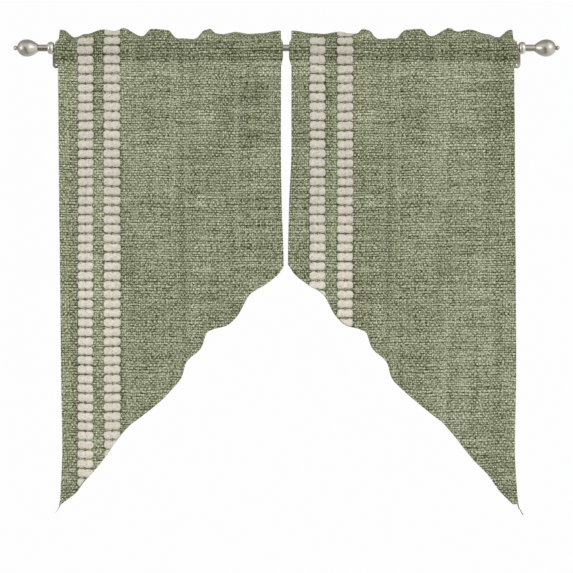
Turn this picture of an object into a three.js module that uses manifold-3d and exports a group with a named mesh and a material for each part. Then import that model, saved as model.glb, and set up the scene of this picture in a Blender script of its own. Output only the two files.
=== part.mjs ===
// Swag valance pair on a curtain rod.
//
// Frame: millimetres, +Z up, +Y towards the wall. The origin lies on the wall,
// halfway between the two brackets, level with the rod's axis. The rod's axis
// is ROD_OUT in front of the wall, so it runs along X at Y = -ROD_OUT, Z = 0.
//
// Each swag panel is one sheet of cloth. Its top edge is folded to the back
// and sewn down twice, which makes a standing ruffle (two layers) above an open
// pocket for the rod. Below the pocket the sheet hangs single, in soft folds,
// down to a slanting hem that is short at the middle and long at the outside.

import * as THREE from 'three';
import { mergeVertices } from 'three/addons/utils/BufferGeometryUtils.js';
import Module from 'manifold-3d';

// ---- rod -------------------------------------------------------------------
const ROD_OUT = 80; // rod axis to wall
const ROD_R = 8; // 16 mm tube
const ROD_WALL = 1;
const ROD_HALF = 585; // half of the tube's length
const GAP = 0.3; // between pieces that meet

// ---- finial: ball on a plug that goes into the tube --------------------------
const PLUG_R = ROD_R - ROD_WALL - GAP - 0.02;
const PLUG_L = 22;
const BALL_TIP_R = 5.6;
// along the axis from the end of the rod, and the radius there
const BALL = [
  { along: 0, radius: 7.9 },
  { along: 0.6, radius: 8.7 },
  { along: 2.4, radius: 10.3 },
  { along: 5.2, radius: 12.3 },
  { along: 8, radius: 14.2 },
  { along: 11, radius: 16 },
  { along: 14, radius: 17.45 },
  { along: 17, radius: 18.6 },
  { along: 20, radius: 19.4 },
  { along: 23, radius: 19.9 },
  { along: 26, radius: 20.1 },
  { along: 29, radius: 20 },
  { along: 32, radius: 19.6 },
  { along: 35, radius: 18.9 },
  { along: 38, radius: 17.75 },
  { along: 41, radius: 16 },
  { along: 44, radius: 13.3 },
  { along: 46.4, radius: 10.3 },
  { along: 48.1, radius: 7.2 },
  { along: 49.2, radius: 5.1 },
];
const NECK = { along: 50.2, radius: 3.9 };
const KNOB_CENTRE = 53.4;

// ---- bracket: collar round the rod, arm, wall plate --------------------------
const BRACKET_X = 555;
const COLLAR_W = 15;
const COLLAR_BORE = ROD_R + GAP + 0.05;
const COLLAR = [
  { along: -7.5, radius: 10.6 },
  { along: -6.6, radius: 12.1 },
  { along: -5.2, radius: 13.2 },
  { along: -3.2, radius: 14.2 },
  { along: -1.2, radius: 14.7 },
  { along: 1.2, radius: 14.7 },
  { along: 3.2, radius: 14.2 },
  { along: 5.2, radius: 13.2 },
  { along: 6.6, radius: 12.1 },
  { along: 7.5, radius: 10.6 },
];
const ARM_R = 5;
const PLATE = { width: 18, top: 21, bottom: -36, thick: 3.2, bevel: 0.9 };
const SCREW = { radius: 2.25, high: 13.4, low: -28 };

// ---- cloth -----------------------------------------------------------------
const CLOTH = 1.4; // thickness of one layer
const SEAM_LOW = -30; // height of the two rows of stitching that make the pocket
const SEAM_HIGH = 16.5;
const HEAD_TOP = 46.4; // height of the ruffle where it stands straight
const POCKET_R = ROD_R + 0.5 + CLOTH / 2; // the cloth's middle where it wraps the rod
const STATIONS = 32; // across a panel
const BODY_ROWS = 12; // down a panel, below the pocket
const TURN_UP = 21; // the last row's height, about the width of the turned-up hem

// The slanting hem, measured outwards from the middle of the rod and down from
// its axis. The steep stretches are where a fold turns edge on.
const HEM = [
  { out: 4.7, down: 511.5 },
  { out: 18.9, down: 532.7 },
  { out: 49.5, down: 557.4 },
  { out: 84.9, down: 579.4 },
  { out: 116.7, down: 631.7 },
  { out: 141.4, down: 654.1 },
  { out: 174.4, down: 663.5 },
  { out: 187.4, down: 670.6 },
  { out: 201.5, down: 707.1 },
  { out: 236.9, down: 741.3 },
  { out: 248.9, down: 777.8 },
  { out: 274.6, down: 806.1 },
  { out: 346.5, down: 866.4 },
  { out: 367.7, down: 882.7 },
  { out: 440.8, down: 971.1 },
  { out: 478.5, down: 1010.0 },
  { out: 504.4, down: 1046.5 },
  { out: 532.7, down: 1074.8 },
];

// Folds from the middle outwards, each a crest (towards the room) or a hollow:
// where it is at the pocket and at the hem, and how far it stands forward there.
const FOLDS = [
  { top: 8, low: 5, forward_top: 0, forward_low: -2 },
  { top: 60, low: 78, forward_top: 3, forward_low: 12 },
  { top: 120, low: 160, forward_top: -5, forward_low: -13 },
  { top: 186, low: 224, forward_top: 6, forward_low: 12 },
  { top: 240, low: 278, forward_top: -6, forward_low: -12 },
  { top: 300, low: 344, forward_top: 5, forward_low: 9 },
  { top: 346, low: 405, forward_top: -5, forward_low: -9 },
  { top: 415, low: 462, forward_top: 5, forward_low: 9 },
  { top: 497, low: 507, forward_top: -6, forward_low: -7 },
  { top: 538, low: 536, forward_top: 3, forward_low: 3 },
];

// The ruffle's top edge: how far it dips below HEAD_TOP where the ruffle
// has flopped back towards the wall.
const RUFFLE = [
  { out: 12, dip: 4 },
  { out: 60, dip: 9.6 },
  { out: 84, dip: 10.6 },
  { out: 119, dip: 5.8 },
  { out: 152, dip: 11 },
  { out: 166, dip: 10.2 },
  { out: 181, dip: 1.4 },
  { out: 192, dip: 3.6 },
  { out: 222, dip: 26.2 },
  { out: 246, dip: 21.6 },
  { out: 258, dip: 23 },
  { out: 284, dip: 3 },
  { out: 322, dip: 1.2 },
  { out: 346, dip: 14.8 },
  { out: 388, dip: 0 },
  { out: 410, dip: 6.4 },
  { out: 438, dip: 2.4 },
  { out: 484, dip: 10.2 },
  { out: 509, dip: 17.8 },
  { out: 535, dip: 2.9 },
];

// The side hems, and the thin curled tip that ends the outer one. A panel is cut
// by hand, so its slanting hem may hang lower in places than HEM says.
const PANELS = {
  panel_left: {
    side: -1,
    tip: 1096,
    sides: [
      { down: -47, inner: 13.4, outer: 535.6 },
      { down: -21, inner: 12.8, outer: 536.2 },
      { down: -13, inner: 8.6, outer: 543.6 },
      { down: 20, inner: 8.4, outer: 544.2 },
      { down: 46, inner: 12.8, outer: 538.2 },
      { down: 240, inner: 13.2, outer: 536.2 },
      { down: 360, inner: 11.4, outer: 535.2 },
      { down: 515, inner: 6.8, outer: 533.2 },
      { down: 760, inner: 6.6, outer: 531.0 },
      { down: 950, inner: 6.6, outer: 528.0 },
      { down: 1040, inner: 6.6, outer: 531.6 },
      { down: 1074, inner: 6.6, outer: 533.6 },
      { down: 1096, inner: 6.6, outer: 544.4 },
    ],
    longer: [
      { out: 0, by: 0 },
      { out: 252, by: 0 },
      { out: 300, by: 6.5 },
      { out: 350, by: 5.5 },
      { out: 392, by: 4 },
      { out: 430, by: 9 },
      { out: 466, by: 13.5 },
      { out: 488, by: 14 },
      { out: 508, by: 7.5 },
      { out: 526, by: 3 },
      { out: 545, by: 0 },
    ],
  },
  panel_right: {
    side: 1,
    tip: 1100,
    sides: [
      { down: -47, inner: 11.8, outer: 533.6 },
      { down: -21, inner: 11.2, outer: 534.4 },
      { down: -13, inner: 6.4, outer: 542.6 },
      { down: 20, inner: 6.0, outer: 543.2 },
      { down: 46, inner: 11.6, outer: 536.4 },
      { down: 240, inner: 11.6, outer: 538.0 },
      { down: 360, inner: 6.4, outer: 538.6 },
      { down: 515, inner: 3.6, outer: 539.6 },
      { down: 760, inner: 3.6, outer: 541.0 },
      { down: 950, inner: 3.6, outer: 538.0 },
      { down: 1040, inner: 3.6, outer: 542.6 },
      { down: 1078, inner: 3.6, outer: 545.4 },
      { down: 1100, inner: 3.6, outer: 558.0 },
    ],
    longer: [
      { out: 0, by: 0 },
      { out: 560, by: 0 },
    ],
  },
};

// ---- small functions ---------------------------------------------------------
const clamp = (value, low, high) => Math.min(high, Math.max(low, value));
const mix = (a, b, t) => a + (b - a) * t;

// A smooth curve through a table, with no overshoot between its rows.
function through(rows, key, value, at) {
  const n = rows.length;
  const x = rows.map((row) => row[key]);
  const y = rows.map((row) => row[value]);
  if (at <= x[0]) return y[0];
  if (at >= x[n - 1]) return y[n - 1];
  const slope = [];
  for (let k = 0; k < n - 1; k++) slope.push((y[k + 1] - y[k]) / (x[k + 1] - x[k]));
  const tangent = (k) => {
    if (k === 0) return slope[0];
    if (k === n - 1) return slope[n - 2];
    const [a, b] = [slope[k - 1], slope[k]];
    return a * b <= 0 ? 0 : (2 * a * b) / (a + b);
  };
  let k = 0;
  while (at > x[k + 1]) k++;
  const h = x[k + 1] - x[k];
  const t = (at - x[k]) / h;
  const [m0, m1] = [tangent(k) * h, tangent(k + 1) * h];
  return (
    (2 * t ** 3 - 3 * t ** 2 + 1) * y[k] + (t ** 3 - 2 * t ** 2 + t) * m0 +
    (-2 * t ** 3 + 3 * t ** 2) * y[k + 1] + (t ** 3 - t ** 2) * m1
  );
}

// A wave through a table: level at each row, half a cosine between two rows.
function wave(places, values, at) {
  const n = places.length;
  if (at <= places[0]) return values[0];
  if (at >= places[n - 1]) return values[n - 1];
  let k = 0;
  while (at > places[k + 1]) k++;
  const t = (at - places[k]) / (places[k + 1] - places[k]);
  return mix(values[k], values[k + 1], (1 - Math.cos(Math.PI * t)) / 2);
}

// ---- hanging shape of a panel --------------------------------------------------
const hemDown = (out) => through(HEM, 'out', 'down', out);

// How far the cloth stands towards the room at a place on a panel.
function forward(out, down) {
  const places = [];
  const values = [];
  for (const fold of FOLDS) {
    const reach = clamp((down + SEAM_LOW) / (hemDown(fold.low) + SEAM_LOW), 0, 1.15);
    places.push(mix(fold.top, fold.low, reach));
    values.push(mix(fold.forward_top, fold.forward_low, Math.sqrt(clamp(reach, 0, 1))));
  }
  return wave(places, values, out);
}

// The ruffle leans back along its height. This finds the lean at the top that
// lowers the top edge by the given dip.
const LEAN_START = 0.4;
const leanAt = (lean, up) => lean * mix(LEAN_START, 1, up);
function leanFor(dip) {
  const height = HEAD_TOP - SEAM_HIGH;
  const lowered = (lean) => {
    let sum = 0;
    for (let k = 0; k < 40; k++) sum += 1 - Math.cos(leanAt(lean, (k + 0.5) / 40));
    return (sum / 40) * height;
  };
  let [low, high] = [0, 2.4];
  for (let k = 0; k < 40; k++) {
    const middle = (low + high) / 2;
    if (lowered(middle) < dip) low = middle;
    else high = middle;
  }
  return (low + high) / 2;
}

// One layer of the pocket in cross-section, from the low seam to the high one:
// straight to the rod, round it, and straight on. `from` is the distance from
// the plane of the seams, `up` the height.
function pocketPath() {
  const seamFrom = CLOTH / 2 + 0.05;
  const tangent = (up, sign) => {
    const reach = Math.hypot(seamFrom, up);
    return Math.atan2(up, seamFrom) + sign * Math.acos(POCKET_R / reach);
  };
  const start = tangent(SEAM_LOW, 1);
  const end = tangent(SEAM_HIGH, -1);
  const onRod = (angle) => ({ from: POCKET_R * Math.cos(angle), up: POCKET_R * Math.sin(angle) });
  const path = [];
  const [first, last] = [onRod(start), onRod(end)];
  for (const t of [0, 0.1, 0.36, 0.68]) path.push({ from: mix(seamFrom, first.from, t), up: mix(SEAM_LOW, first.up, t) });
  for (let k = 0; k <= 4; k++) path.push(onRod(mix(start, end, k / 4)));
  for (const t of [0.5, 0.86, 1]) path.push({ from: mix(last.from, seamFrom, t), up: mix(last.up, SEAM_HIGH, t) });
  return path;
}
const POCKET_PATH = pocketPath();

// Stations share out the length of the hem, so they crowd where it is steep.
function stations(panel) {
  const inner = through(panel.sides, 'down', 'inner', 515);
  const outer = through(panel.sides, 'down', 'outer', 1074);
  const steps = 800;
  const length = [0];
  for (let k = 1; k <= steps; k++) {
    const [a, b] = [mix(inner, outer, (k - 1) / steps), mix(inner, outer, k / steps)];
    length.push(length[k - 1] + Math.hypot(b - a, hemDown(b) - hemDown(a)));
  }
  const shares = [];
  for (let i = 0; i < STATIONS - 1; i++) {
    const wanted = (length[steps] * i) / (STATIONS - 2);
    let k = 0;
    while (k < steps && length[k + 1] < wanted) k++;
    const part = length[k + 1] > length[k] ? (wanted - length[k]) / (length[k + 1] - length[k]) : 0;
    shares.push(Math.min(1, (k + part) / steps));
  }
  shares[STATIONS - 2] = 0.9962; // the narrow strip that becomes the curled tip
  shares.push(1);
  return shares;
}

// A point of the panel from its share across, its depth below the rod's axis
// and its distance behind the rod's axis.
function place(panel, share, down, behind) {
  const inner = through(panel.sides, 'down', 'inner', down);
  const outer = through(panel.sides, 'down', 'outer', down);
  return new THREE.Vector3(panel.side * mix(inner, outer, share), -ROD_OUT + behind, -down);
}
const outAt = (panel, share, down) =>
  mix(through(panel.sides, 'down', 'inner', down), through(panel.sides, 'down', 'outer', down), share);

// Where the hem crosses a station.
function hemAt(panel, share) {
  if (share === 1) return panel.tip;
  const hem = (out) => hemDown(out) + through(panel.longer, 'out', 'by', out);
  let down = 800;
  for (let k = 0; k < 60; k++) down = mix(down, hem(outAt(panel, share, down)), 0.7);
  return down;
}

// The three sheets of a station: the front layer (hem to high seam), the
// ruffle and the back layer of the pocket.
function station(panel, share) {
  const seamBehind = -forward(outAt(panel, share, -SEAM_LOW), -SEAM_LOW);
  const bottom = hemAt(panel, share);
  const front = [];
  for (let r = 0; r < BODY_ROWS; r++) {
    const down = r === 0 ? bottom : mix(bottom - TURN_UP, -SEAM_LOW + 2.5, (r - 1) / (BODY_ROWS - 2));
    const curl = share > 0.99 ? 3 * clamp((down - 1074) / 22, 0, 1) : 0;
    front.push(place(panel, share, down, -forward(outAt(panel, share, down), down) - CLOTH / 2 + curl));
  }
  const back = [];
  const loose = clamp(-seamBehind, 0, 6) * 0.9; // a crest stands off the rod
  const slack = clamp(seamBehind, 0, 6) * 0.7;
  for (const { from, up } of POCKET_PATH) {
    const seam = up > 0 ? SEAM_HIGH : SEAM_LOW;
    const hold = clamp((Math.abs(up) - ROD_R) / (Math.abs(seam) - ROD_R), 0, 1) ** 1.5;
    const swell = Math.cos((Math.PI / 2) * clamp(up / seam, 0, 1)) ** 1.2;
    front.push(place(panel, share, -up, -from - loose * swell + seamBehind * hold));
    back.push(place(panel, share, -up, from + slack * swell + seamBehind * hold));
  }
  const ruffle = [];
  const lean = leanFor(wave(RUFFLE.map((row) => row.out), RUFFLE.map((row) => row.dip), outAt(panel, share, -30)));
  const rows = 5;
  let [up, behind] = [SEAM_HIGH, seamBehind];
  for (let r = 0; r <= rows; r++) {
    ruffle.push(place(panel, share, -up, behind));
    const angle = leanAt(lean, (r + 0.5) / rows);
    up += (Math.cos(angle) * (HEAD_TOP - SEAM_HIGH)) / rows;
    behind += (Math.sin(angle) * (HEAD_TOP - SEAM_HIGH)) / rows;
  }
  return { front, ruffle, back };
}

// Unit normals of a sheet, pointing to the room.
function normals(sheet, side) {
  const across = sheet.length;
  return sheet.map((column, i) =>
    column.map((_, j) => {
      const [i0, i1] = [Math.max(0, i - 1), Math.min(across - 1, i + 1)];
      const [j0, j1] = [Math.max(0, j - 1), Math.min(column.length - 1, j + 1)];
      const u = new THREE.Vector3().subVectors(sheet[i1][j], sheet[i0][j]);
      const v = new THREE.Vector3().subVectors(sheet[i][j1], sheet[i][j0]);
      return u.cross(v).normalize().multiplyScalar(side);
    }),
  );
}

function panelGeometry(panel) {
  const columns = stations(panel).map((share) => station(panel, share));
  const layer = { front: CLOTH / 2, ruffle: CLOTH, back: CLOTH / 2 };
  const offset = (name, sign) => {
    const sheet = columns.map((column) => column[name]);
    const unit = normals(sheet, panel.side);
    return sheet.map((points, i) => points.map((p, j) => p.clone().addScaledVector(unit[i][j], sign * layer[name])));
  };
  // the back layer's rows run upwards too, so its room side is its inside
  const [frontRoom, frontWall] = [offset('front', 1), offset('front', -1)];
  const [ruffleRoom, ruffleWall] = [offset('ruffle', 1), offset('ruffle', -1)];
  const [backRoom, backWall] = [offset('back', 1), offset('back', -1)];
  const pocket = POCKET_PATH.length;

  const outline = columns.map((_, i) => [
    ...frontRoom[i].slice(0, -1),
    ...ruffleRoom[i],
    ...ruffleWall[i].slice().reverse(),
    ...backWall[i].slice(0, -1).reverse(),
    ...frontWall[i].slice(0, BODY_ROWS).reverse(),
  ]);
  const tunnel = columns.map((_, i) => [
    ...frontWall[i].slice(BODY_ROWS + 1, BODY_ROWS + pocket - 1),
    ...backRoom[i].slice(1, -1).reverse(),
  ]);

  const vertices = [];
  const index = (rings) => rings.map((ring) => ring.map((p) => vertices.push(p) - 1));
  const outer = index(outline);
  const inner = index(tunnel);
  const faces = [];
  const flip = panel.side > 0;
  const face = (a, b, c) => faces.push(flip ? [a, b, c] : [a, c, b]);
  const skin = (rings, outwards) => {
    const size = rings[0].length;
    for (let i = 0; i < rings.length - 1; i++) {
      for (let j = 0; j < size; j++) {
        const n = (j + 1) % size;
        const [a, b, c, d] = [rings[i][j], rings[i + 1][j], rings[i + 1][n], rings[i][n]];
        // the shorter diagonal keeps the folds even
        const short = vertices[a].distanceTo(vertices[c]) <= vertices[b].distanceTo(vertices[d]);
        const pair = short ? [[a, b, c], [a, c, d]] : [[a, b, d], [b, c, d]];
        for (const [p, q, r] of pair) outwards ? face(p, q, r) : face(p, r, q);
      }
    }
  };
  skin(outer, true);
  skin(inner, false);
  for (const end of [0, columns.length - 1]) {
    const flat = (ring) => ring.map((k) => new THREE.Vector2(vertices[k].y, vertices[k].z));
    const ids = [...outer[end], ...inner[end]];
    for (const [a, b, c] of THREE.ShapeUtils.triangulateShape(flat(outer[end]), [flat(inner[end])])) {
      const [p, q, r] = [ids[a], ids[b], ids[c]];
      const [u, v, w] = [vertices[p], vertices[q], vertices[r]];
      const turn = (v.y - u.y) * (w.z - u.z) - (w.y - u.y) * (v.z - u.z);
      const wanted = end === 0 ? -panel.side : panel.side; // the face looks away from the panel
      faces.push(turn * wanted > 0 ? [p, q, r] : [p, r, q]);
    }
  }
  const geometry = new THREE.BufferGeometry();
  geometry.setAttribute('position', new THREE.Float32BufferAttribute(vertices.flatMap((p) => [p.x, p.y, p.z]), 3));
  geometry.setIndex(faces.flat());
  geometry.computeVertexNormals();
  return geometry;
}

// ---- turned and joined metal parts ----------------------------------------------
const wasm = await Module();
wasm.setup();

function toSolid(geometry) {
  const bare = geometry.clone();
  for (const name of Object.keys(bare.attributes)) if (name !== 'position') bare.deleteAttribute(name);
  const merged = mergeVertices(bare, 1e-4);
  return new wasm.Manifold(
    new wasm.Mesh({ numProp: 3, vertProperties: Float32Array.from(merged.attributes.position.array), triVerts: Uint32Array.from(merged.index.array) }),
  );
}
function toGeometry(solid) {
  const mesh = solid.getMesh();
  const geometry = new THREE.BufferGeometry();
  const positions = [];
  for (let k = 0; k < mesh.vertProperties.length; k += mesh.numProp) positions.push(...mesh.vertProperties.slice(k, k + 3));
  geometry.setAttribute('position', new THREE.Float32BufferAttribute(positions, 3));
  geometry.setIndex([...mesh.triVerts]);
  geometry.computeVertexNormals();
  return geometry;
}
// a profile turned round the X axis; rows are {along, radius}
function turned(rows, segments = 28) {
  const points = rows.map(({ along, radius }) => new THREE.Vector2(radius, along));
  return new THREE.LatheGeometry(points, segments).rotateZ(-Math.PI / 2);
}

function rodGeometry() {
  return turned([
    { along: -ROD_HALF, radius: ROD_R - ROD_WALL },
    { along: -ROD_HALF, radius: ROD_R },
    { along: ROD_HALF, radius: ROD_R },
    { along: ROD_HALF, radius: ROD_R - ROD_WALL },
    { along: -ROD_HALF, radius: ROD_R - ROD_WALL },
  ]);
}

function finialGeometry() {
  const rows = [
    { along: -PLUG_L, radius: 0 },
    { along: -PLUG_L, radius: PLUG_R - 0.8 },
    { along: -PLUG_L + 1.2, radius: PLUG_R },
    { along: 0, radius: PLUG_R },
    ...BALL,
    NECK,
  ];
  for (let k = 1; k <= 7; k++) {
    const angle = mix(-0.74, Math.PI / 2, k / 7);
    rows.push({ along: KNOB_CENTRE + BALL_TIP_R * Math.sin(angle) * 0.86, radius: k === 7 ? 0 : BALL_TIP_R * Math.cos(angle) });
  }
  return turned(rows);
}

function bracketGeometry() {
  const collar = toSolid(
    turned([
      { along: -COLLAR_W / 2, radius: COLLAR_BORE },
      ...COLLAR,
      { along: COLLAR_W / 2, radius: COLLAR_BORE },
      { along: -COLLAR_W / 2, radius: COLLAR_BORE },
    ], 28).translate(0, -ROD_OUT, 0),
  );
  const armFrom = -ROD_OUT + COLLAR_BORE + 2.4;
  const armTo = -PLATE.thick / 2;
  const arm = toSolid(new THREE.CylinderGeometry(ARM_R, ARM_R, armTo - armFrom, 24).translate(0, (armFrom + armTo) / 2, 0));
  const { width, top, bottom, thick, bevel } = PLATE;
  const r = width / 2 - bevel;
  const shape = new THREE.Shape();
  shape.absarc(0, top - bevel - r, r, 0, Math.PI, false);
  shape.absarc(0, bottom + bevel + r, r, Math.PI, 2 * Math.PI, false);
  shape.closePath();
  const plate = new THREE.ExtrudeGeometry(shape, {
    depth: thick, bevelEnabled: true, bevelThickness: bevel, bevelSize: bevel, bevelSegments: 2, curveSegments: 10,
  });
  // stand the plate up: its depth runs along -Y, away from the wall
  plate.rotateX(Math.PI / 2);
  const wallSide = toSolid(new THREE.BoxGeometry(60, 20, 120).translate(0, 10, 0));
  const standing = toSolid(plate.translate(0, 0, 0)).subtract(wallSide);
  let solid = collar.add(arm).add(standing);
  for (const height of [SCREW.high, SCREW.low]) {
    solid = solid.subtract(toSolid(new THREE.CylinderGeometry(SCREW.radius, SCREW.radius, 20, 20).translate(0, 0, height)));
  }
  return toGeometry(solid);
}

// ---- the object ----------------------------------------------------------------
const nickel = new THREE.MeshStandardMaterial({ color: 0xa9a59c, roughness: 0.32, metalness: 1 });
const burlap = new THREE.MeshStandardMaterial({ color: 0x8a8e75, roughness: 0.95, metalness: 0 });

const valance = new THREE.Group();
const add = (name, geometry, material, parent = valance) => {
  const mesh = new THREE.Mesh(geometry, material);
  mesh.name = name;
  parent.add(mesh);
  return mesh;
};

const rail = new THREE.Group();
rail.position.set(0, -ROD_OUT, 0);
valance.add(rail);
add('rod', rodGeometry(), nickel, rail);
add('finial_right', finialGeometry(), nickel, rail).position.x = ROD_HALF + GAP;
const leftFinial = add('finial_left', finialGeometry(), nickel, rail);
leftFinial.position.x = -ROD_HALF - GAP;
leftFinial.rotation.z = Math.PI;

add('bracket_left', bracketGeometry(), nickel).position.x = -BRACKET_X;
add('bracket_right', bracketGeometry(), nickel).position.x = BRACKET_X;

for (const [name, panel] of Object.entries(PANELS)) add(name, panelGeometry(panel), burlap);

export default valance;
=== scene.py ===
"""Swag valance pair on a curtain rod: the looks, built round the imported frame."""

import math

import bmesh
import bpy
import numpy as np
from mathutils import Matrix, Vector
from mathutils.geometry import tessellate_polygon


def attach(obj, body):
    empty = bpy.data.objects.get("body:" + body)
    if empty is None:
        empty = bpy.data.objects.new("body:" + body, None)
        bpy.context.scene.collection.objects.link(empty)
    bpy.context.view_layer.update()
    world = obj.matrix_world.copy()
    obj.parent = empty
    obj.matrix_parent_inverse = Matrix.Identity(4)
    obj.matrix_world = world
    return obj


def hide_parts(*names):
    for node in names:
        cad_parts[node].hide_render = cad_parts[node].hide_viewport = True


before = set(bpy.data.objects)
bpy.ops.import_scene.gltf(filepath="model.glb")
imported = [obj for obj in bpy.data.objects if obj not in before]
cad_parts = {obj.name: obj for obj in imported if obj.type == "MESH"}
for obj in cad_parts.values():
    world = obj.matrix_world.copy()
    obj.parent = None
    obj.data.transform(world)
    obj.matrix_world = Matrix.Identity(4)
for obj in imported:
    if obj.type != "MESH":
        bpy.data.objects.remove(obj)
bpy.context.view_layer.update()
MM = 0.001

# ---------------------------------------------------------------------------
# sizes, in millimetres, as the part has them
# ---------------------------------------------------------------------------
ROD_OUT = 80.0  # rod axis to wall
ROD_R = 8.0
ROD_HALF = 585.0
BRACKET_X = 555.0

SEAM_LOW, SEAM_HIGH, HEAD_TOP = -30.0, 16.5, 46.4
CLOTH = 1.3  # one layer
POCKET_R = ROD_R + 0.55 + CLOTH / 2
HEM_BAND = 19.0  # turned-up lower hem
SIDE_BAND = 11.0  # turned side hems

# slanting hem: out from the middle of the rod, down from its axis
HEM = np.array([
    (4.7, 511.5), (18.9, 532.7), (49.5, 557.4), (84.9, 579.4), (116.7, 631.7), (141.4, 654.1),
    (174.4, 663.5), (187.4, 670.6), (201.5, 707.1), (236.9, 741.3), (248.9, 777.8), (274.6, 806.1),
    (346.5, 866.4), (367.7, 882.7), (440.8, 971.1), (478.5, 1010.0), (504.4, 1046.5), (532.7, 1074.8),
])
# folds: place at the pocket and at the hem, and how far forward there
FOLDS = [
    dict(top=8, low=5, forward_top=0, forward_low=-2),
    dict(top=60, low=78, forward_top=3, forward_low=12),
    dict(top=120, low=160, forward_top=-5, forward_low=-13),
    dict(top=186, low=224, forward_top=6, forward_low=12),
    dict(top=240, low=278, forward_top=-6, forward_low=-12),
    dict(top=300, low=344, forward_top=5, forward_low=9),
    dict(top=346, low=405, forward_top=-5, forward_low=-9),
    dict(top=415, low=462, forward_top=5, forward_low=9),
    dict(top=497, low=507, forward_top=-6, forward_low=-7),
    dict(top=538, low=536, forward_top=3, forward_low=3),
]
# ruffle: how far its top edge dips
RUFFLE = np.array([
    (12, 4), (60, 9.6), (84, 10.6), (119, 5.8), (152, 11), (166, 10.2), (181, 1.4),
    (192, 3.6), (222, 26.2), (246, 21.6), (258, 23), (284, 3), (322, 1.2), (346, 14.8),
    (388, 0), (410, 6.4), (438, 2.4), (484, 10.2), (509, 17.8), (535, 2.9),
])
# side hems: down, inner edge, outer edge; stripes: centre of each ladder from the middle of the rod
PANELS = {
    "panel_left": dict(
        side=-1, tip=1096.0, seed=3, paler_gap=0.09, paler_margin=0.033,
        # broad soft places set from the photo: out, down, half width, half height, and how much paler
        uneven=[(95, 115, 62, 95, -0.07), (315, 210, 85, 120, 0.05), (200, 495, 48, 110, 0.06), (34, 415, 34, 80, -0.085), (290, 780, 60, 60, 0.065)],
        sides=np.array([
            (-47, 13.4, 535.6), (-21, 12.8, 536.2), (-13, 8.6, 543.6), (20, 8.4, 544.2), (46, 12.8, 538.2),
            (240, 13.2, 536.2), (360, 11.4, 535.2), (515, 6.8, 533.2), (760, 6.6, 531.0), (950, 6.6, 528.0),
            (1040, 6.6, 531.6), (1074, 6.6, 533.6), (1096, 6.6, 544.4),
        ]),
        # the hand-cut hem hangs a little lower here: out from the middle, and by how much
        longer=np.array([
            (0, 0), (252, 0), (300, 6.5), (350, 5.5), (392, 4), (430, 9), (466, 13.5), (488, 14), (508, 7.5), (526, 3), (545, 0),
        ]),
        ladders=[dict(centre=473.4, width=38.6, pale=1.01), dict(centre=411.0, width=38.6, pale=1.005)],
    ),
    "panel_right": dict(
        side=1, tip=1100.0, seed=11, paler_gap=0.015, paler_margin=-0.03,
        uneven=[(376, 225, 34, 130, 0.085), (500, 130, 62, 110, -0.105), (470, 620, 110, 160, 0.045), (420, 820, 150, 130, 0.05)],
        sides=np.array([
            (-47, 11.8, 533.6), (-21, 11.2, 534.4), (-13, 6.4, 542.6), (20, 6.0, 543.2), (46, 11.6, 536.4),
            (240, 11.6, 538.0), (360, 6.4, 538.6), (515, 3.6, 539.6), (760, 3.6, 541.0), (950, 3.6, 538.0),
            (1040, 3.6, 542.6), (1078, 3.6, 545.4), (1100, 3.6, 558.0),
        ]),
        longer=np.array([(0.0, 0.0), (560.0, 0.0)]),
        ladders=[dict(centre=72.8, width=37.2, pale=0.975), dict(centre=138.2, width=38.4, pale=0.985)],
    ),
}
LADDER_PITCH = 22.12
LADDER_TALL = 19.6  # one rung
LADDER_TOP = 38.2  # height of the centre of the first rung, which the ruffle's top edge cuts
# painted shade and light down a ladder: the yarn is darker in and near the pocket, and palest low down
# columns: down from the rod, brightness
YARN_LIGHT = np.array([(-40, 0.87), (6, 0.83), (28, 0.915), (52, 0.94), (271, 0.94), (400, 0.975), (500, 1.045), (650, 1.08), (760, 1.07), (1000, 1.03)])
PITCH_WEFT, PITCH_WARP = 6.10, 5.02  # of the weave: between weft rows, and between warp yarns


# ---------------------------------------------------------------------------
# the hanging shape
# ---------------------------------------------------------------------------
def through(x, y, at):
    """A smooth curve through a table, with no overshoot between its rows."""
    x, y, at = np.asarray(x, float), np.asarray(y, float), np.asarray(at, float)
    slope = np.diff(y) / np.diff(x)
    tangent = np.empty(len(x))
    tangent[0], tangent[-1] = slope[0], slope[-1]
    a, b = slope[:-1], slope[1:]
    same = a * b > 0
    tangent[1:-1] = np.where(same, 2 * a * b / np.where(same, a + b, 1), 0)
    k = np.clip(np.searchsorted(x, at) - 1, 0, len(x) - 2)
    h = x[k + 1] - x[k]
    t = np.clip((at - x[k]) / h, 0, 1)
    return (
        (2 * t**3 - 3 * t**2 + 1) * y[k] + (t**3 - 2 * t**2 + t) * tangent[k] * h
        + (-2 * t**3 + 3 * t**2) * y[k + 1] + (t**3 - t**2) * tangent[k + 1] * h
    )


def wave(places, values, at):
    """Level at each row, half a cosine between two rows. Places and values may be arrays like at."""
    at = np.asarray(at, float)
    result = np.where(at <= places[0], values[0], values[-1]) * 1.0
    for k in range(len(places) - 1):
        p, q = places[k] + 0 * at, places[k + 1] + 0 * at
        t = np.clip((at - p) / (q - p), 0, 1)
        result = np.where((at > p) & (at <= q), values[k] + (values[k + 1] - values[k]) * (1 - np.cos(np.pi * t)) / 2, result)
    return result


def hem_down(out):
    return through(HEM[:, 0], HEM[:, 1], out)


def sides_at(panel, down):
    s = panel["sides"]
    return through(s[:, 0], s[:, 1], down), through(s[:, 0], s[:, 2], down)


def out_at(panel, share, down):
    inner, outer = sides_at(panel, down)
    return inner + (outer - inner) * share


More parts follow.
